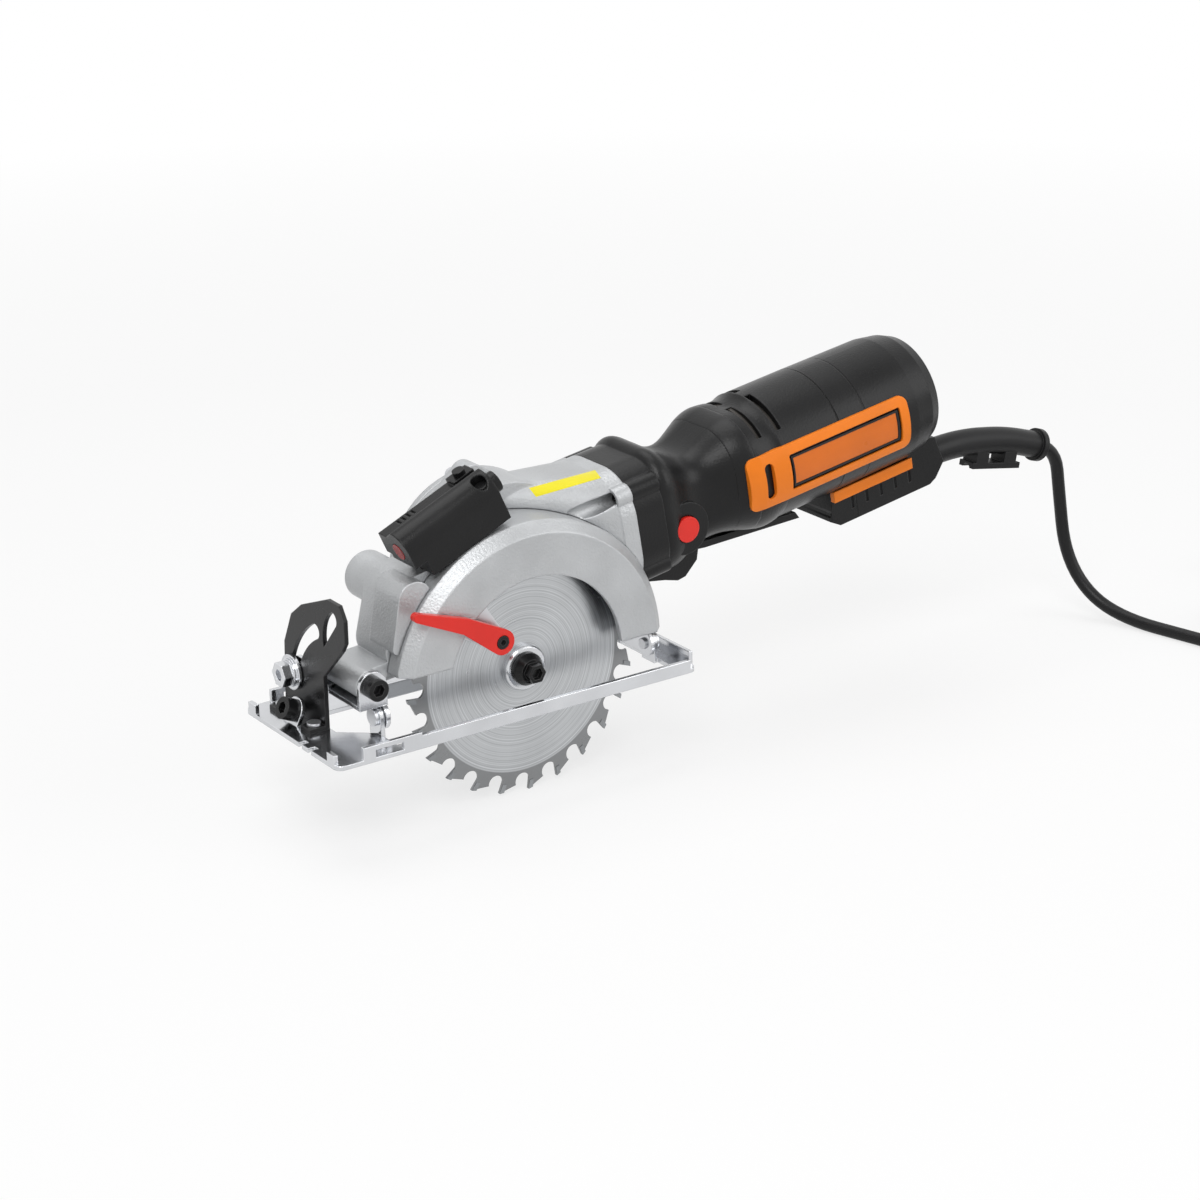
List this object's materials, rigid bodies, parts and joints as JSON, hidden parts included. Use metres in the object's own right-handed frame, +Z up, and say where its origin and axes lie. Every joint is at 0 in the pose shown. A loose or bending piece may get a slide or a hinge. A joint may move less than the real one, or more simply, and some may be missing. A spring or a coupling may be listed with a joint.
{
  "type": "circular saw",
  "caption": "Compact corded circular saw with a slim in-line motor grip, blade guards, laser guide and a tilting sheet sole with depth swing.",
  "frame": {"origin": "on the underside of the sole, below the spindle, in the plane of the blade", "axes": "+X from the nose back to the motor, +Y away from the blade side, +Z up from the sole"},
  "size_m": [0.6034, 0.1937, 0.1679],
  "materials": {
    "chromed_steel": "polished",
    "plain_steel": "satin",
    "blade_steel": "brushed",
    "carbide": "satin",
    "hard_steel": "satin",
    "black_steel": "satin",
    "die_cast": "grainy",
    "black_nylon": "satin grain",
    "orange_nylon": "satin",
    "red_nylon": "satin",
    "lamination": "matt",
    "copper": "satin",
    "carbon": "matt",
    "clear_plastic": "gloss",
    "rubber": "matt"
  },
  "bodies": {
    "base": {"base_plate": "chromed_steel", "bevel_quadrant": "black_steel", "base_rivets": "plain_steel"},
    "guide_screw_body": {"guide_screw": "black_steel"},
    "bevel_frame": {"front_clevis": "chromed_steel", "pivot_bolt": "chromed_steel", "depth_bracket": "chromed_steel"},
    "bevel_screw_body": {"bevel_screw": "chromed_steel"},
    "head": {"gear_case": "die_cast", "gear_cover": "die_cast", "case_screws": "plain_steel", "upper_guard": "die_cast", "flange_screws": "plain_steel", "motor_housing": "black_nylon", "rear_cover": "black_nylon", "rear_screws": "plain_steel", "side_panels": "orange_nylon", "trim_strips": "orange_nylon", "stator": "lamination", "brush_holders": "black_nylon", "carbon_brushes": "carbon", "motor_bearings": "hard_steel", "gear_bearings": "hard_steel", "idler_pin": "plain_steel", "switch_body": "black_nylon", "guard_spring": "plain_steel", "laser_housing": "black_nylon", "laser_lens": "clear_plastic", "laser_screws": "black_steel", "depth_bolt": "plain_steel", "strain_relief": "rubber", "cord_lead": "rubber", "cord_coil": "rubber", "plug": "rubber"},
    "blade_group": {"spindle": "plain_steel", "spindle_gear": "hard_steel", "inner_flange": "plain_steel", "outer_flange": "chromed_steel", "blade_bolt": "black_steel", "blade": "blade_steel", "blade_tips": "carbide"},
    "idler": {"idler_gear": "hard_steel"},
    "layshaft_group": {"layshaft": "plain_steel", "bevel_gear": "hard_steel"},
    "armature": {"armature_shaft": "plain_steel", "armature_core": "lamination", "commutator": "copper", "cooling_fan": "black_nylon", "bevel_pinion": "hard_steel"},
    "guard": {"lower_guard": "plain_steel", "guard_lever": "red_nylon", "lever_screw": "black_steel"},
    "trigger_body": {"trigger": "black_nylon"},
    "lock_button_body": {"lock_button": "red_nylon"},
    "spindle_lock_body": {"spindle_lock": "black_nylon"},
    "laser_switch_body": {"laser_switch": "black_nylon"},
    "depth_lever_body": {"depth_lever": "black_nylon"}
  },
  "joints": [
    {"name": "bevel_tilt", "type": "hinge", "parent": "base", "child": "bevel_frame", "pos_m": [0, 0, 0.009], "axis": [1, 0, 0], "range_deg": [0, 45]},
    {"name": "depth_swing", "type": "hinge", "parent": "bevel_frame", "child": "head", "pos_m": [-0.078, 0, 0.024], "axis": [0, -1, 0], "range_deg": [0, 33]},
    {"name": "bevel_screw_turn", "type": "hinge", "parent": "bevel_frame", "child": "bevel_screw_body", "pos_m": [-0.0915, 0.04004, 0.02101], "axis": [1, 0, 0], "range_deg": [0, 180]},
    {"name": "guide_screw_turn", "type": "hinge", "parent": "base", "child": "guide_screw_body", "pos_m": [-0.09875, 0.031, 0.00729], "axis": [-0.9063, 0, 0.4226], "range_deg": [0, 180]},
    {"name": "blade_spin", "type": "hinge", "parent": "head", "child": "blade_group", "pos_m": [0, 0, 0.014], "axis": [0, 1, 0], "continuous": true},
    {"name": "idler_spin", "type": "hinge", "parent": "head", "child": "idler", "pos_m": [0.00792, 0, 0.03559], "axis": [0, 1, 0], "continuous": true},
    {"name": "layshaft_spin", "type": "hinge", "parent": "head", "child": "layshaft_group", "pos_m": [0, 0, 0.05396], "axis": [0, 1, 0], "continuous": true},
    {"name": "armature_spin", "type": "hinge", "parent": "head", "child": "armature", "pos_m": [0.06, 0.022, 0.064], "axis": [0.9863, 0, 0.165], "continuous": true},
    {"name": "guard_swing", "type": "hinge", "parent": "head", "child": "guard", "pos_m": [0, 0, 0.014], "axis": [0, 1, 0], "range_deg": [0, 135]},
    {"name": "trigger_press", "type": "hinge", "parent": "head", "child": "trigger_body", "pos_m": [0.16514, 0.022, 0.04763], "axis": [0, 1, 0], "range_deg": [0, 3], "stiffness_Nm_per_rad": 3, "springref_deg": -1.72},
    {"name": "lock_button_push", "type": "slide", "parent": "head", "child": "lock_button_body", "axis": [0, 1, 0], "range_m": [-0.0025, 0.0025], "stiffness_N_per_m": 400},
    {"name": "spindle_lock_push", "type": "slide", "parent": "head", "child": "spindle_lock_body", "axis": [0, -1, 0], "range_m": [0, 0.002], "stiffness_N_per_m": 600, "springref_m": -0.001},
    {"name": "laser_switch_push", "type": "slide", "parent": "head", "child": "laser_switch_body", "axis": [-0.9135, 0, -0.4067], "range_m": [0, 0.0012], "stiffness_N_per_m": 500, "springref_m": -0.0006},
    {"name": "depth_lever_turn", "type": "hinge", "parent": "head", "child": "depth_lever_body", "pos_m": [0.02, 0, 0.02486], "axis": [0, -1, 0], "range_deg": [-18, 15]}
  ],
  "couplings": [
    {"joint": "idler_spin", "follows": "blade_spin", "ratio": -0.91667},
    {"joint": "layshaft_spin", "follows": "blade_spin", "ratio": 1.375},
    {"joint": "armature_spin", "follows": "blade_spin", "ratio": -6.7222}
  ]
}
